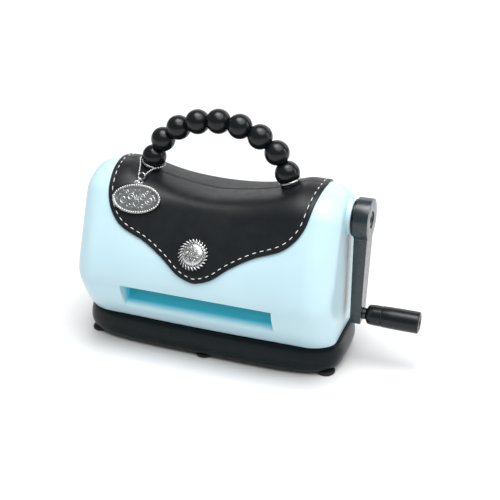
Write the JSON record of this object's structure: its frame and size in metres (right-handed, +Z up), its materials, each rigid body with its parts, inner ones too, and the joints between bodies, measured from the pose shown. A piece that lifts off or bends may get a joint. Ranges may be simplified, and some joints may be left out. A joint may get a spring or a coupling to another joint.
{
  "type": "manual die cutting and embossing machine",
  "caption": "Tabletop die cutting and embossing press in a handbag-shaped aqua housing: two geared rollers, side hand crank, stitched black flap, beaded carrying handle and a hanging charm.",
  "frame": {"origin": "on the resting plane, under the middle of the base", "axes": "+X towards the crank and along the roller axes, -Y towards the front with the feed slot, +Z up"},
  "size_m": [0.279, 0.123, 0.1974],
  "materials": {
    "base_plastic": "glossy moulded black",
    "foot_rubber": "matte rubber",
    "zinc_steel": "zinc plated",
    "frame_steel": "powder coated grey",
    "rod_steel": "turned steel",
    "bronze": "sintered bronze",
    "aqua_plastic": "light aqua, satin gloss",
    "roller_steel": "ground steel",
    "spring_steel": "blackened spring steel",
    "gear_steel": "cut steel, oiled",
    "black_plastic": "black plastic",
    "arm_metal": "satin charcoal paint",
    "bolt_steel": "black oxide",
    "pin_steel": "turned steel",
    "grip_plastic": "satin charcoal",
    "flap_leather": "soft black leather look with white stitches",
    "antique_silver": "antique silver",
    "bead_black": "polished black"
  },
  "bodies": {
    "root": {"base_tray": "base_plastic", "rubber_feet": "foot_rubber", "frame_base_screws": "zinc_steel", "frame_nuts": "zinc_steel", "shell_base_screws": "zinc_steel", "side_frame_left": "frame_steel", "side_frame_right": "frame_steel", "tie_rod_front_lower": "rod_steel", "tie_rod_rear_lower": "rod_steel", "tie_rod_front_upper": "rod_steel", "tie_rod_rear_upper": "rod_steel", "frame_screws": "zinc_steel", "roller_bushings": "bronze", "crank_bushings": "bronze", "feed_table_front": "aqua_plastic", "feed_table_rear": "aqua_plastic", "handle_bridge": "frame_steel", "front_shell": "aqua_plastic", "rear_shell": "aqua_plastic", "shell_screws": "zinc_steel", "front_flap": "flap_leather", "rear_flap": "flap_leather", "clasp_rosette": "antique_silver", "bead_1": "bead_black", "bead_2": "bead_black", "bead_3": "bead_black", "bead_4": "bead_black", "bead_5": "bead_black", "bead_6": "bead_black", "bead_7": "bead_black", "bead_8": "bead_black", "bead_9": "bead_black", "handle_core": "rod_steel", "handle_ring_left": "antique_silver", "handle_ring_right": "antique_silver", "handle_cup_left": "black_plastic", "handle_cup_right": "black_plastic", "handle_screws": "zinc_steel", "charm_chain": "antique_silver", "charm_ring": "antique_silver"},
    "crank": {"crank_shaft": "rod_steel", "crank_pinion": "gear_steel", "crank_circlip": "spring_steel", "crank_collar": "black_plastic", "crank_arm": "arm_metal", "crank_bolt": "bolt_steel", "grip_pin": "pin_steel"},
    "grip": {"crank_grip": "grip_plastic", "grip_cap": "black_plastic"},
    "upper_roller": {"upper_roller": "roller_steel", "upper_circlips": "spring_steel", "drive_gear": "gear_steel", "upper_sync_gear": "gear_steel"},
    "lower_roller": {"lower_roller": "roller_steel", "lower_circlips": "spring_steel", "lower_sync_gear": "gear_steel"},
    "charm_bail": {"charm_bail": "antique_silver"},
    "charm_tag": {"charm_tag": "antique_silver"}
  },
  "joints": [
    {"name": "crank_turn", "type": "hinge", "parent": "root", "child": "crank", "pos_m": [0.113, 0, 0.124], "axis": [1, 0, 0], "continuous": true},
    {"name": "upper_roller_turn", "type": "hinge", "parent": "root", "child": "upper_roller", "pos_m": [0, 0, 0.072], "axis": [1, 0, 0], "continuous": true},
    {"name": "lower_roller_turn", "type": "hinge", "parent": "root", "child": "lower_roller", "pos_m": [0, 0, 0.034], "axis": [1, 0, 0], "continuous": true},
    {"name": "grip_spin", "type": "hinge", "parent": "crank", "child": "grip", "pos_m": [0.146, 0, 0.043], "axis": [1, 0, 0], "continuous": true},
    {"name": "charm_swing", "type": "hinge", "parent": "root", "child": "charm_bail", "pos_m": [-0.057, -0.02264, 0.1433], "axis": [0.0992, -0.8475, 0.5214], "range_deg": [-8, 8]},
    {"name": "tag_lift", "type": "hinge", "parent": "charm_bail", "child": "charm_tag", "pos_m": [-0.05647, -0.03028, 0.14029], "axis": [-0.9915, -0.1284, -0.02], "range_deg": [0, 70]}
  ],
  "couplings": [
    {"joint": "upper_roller_turn", "follows": "crank_turn", "ratio": -0.33333},
    {"joint": "lower_roller_turn", "follows": "crank_turn", "ratio": 0.33333}
  ]
}
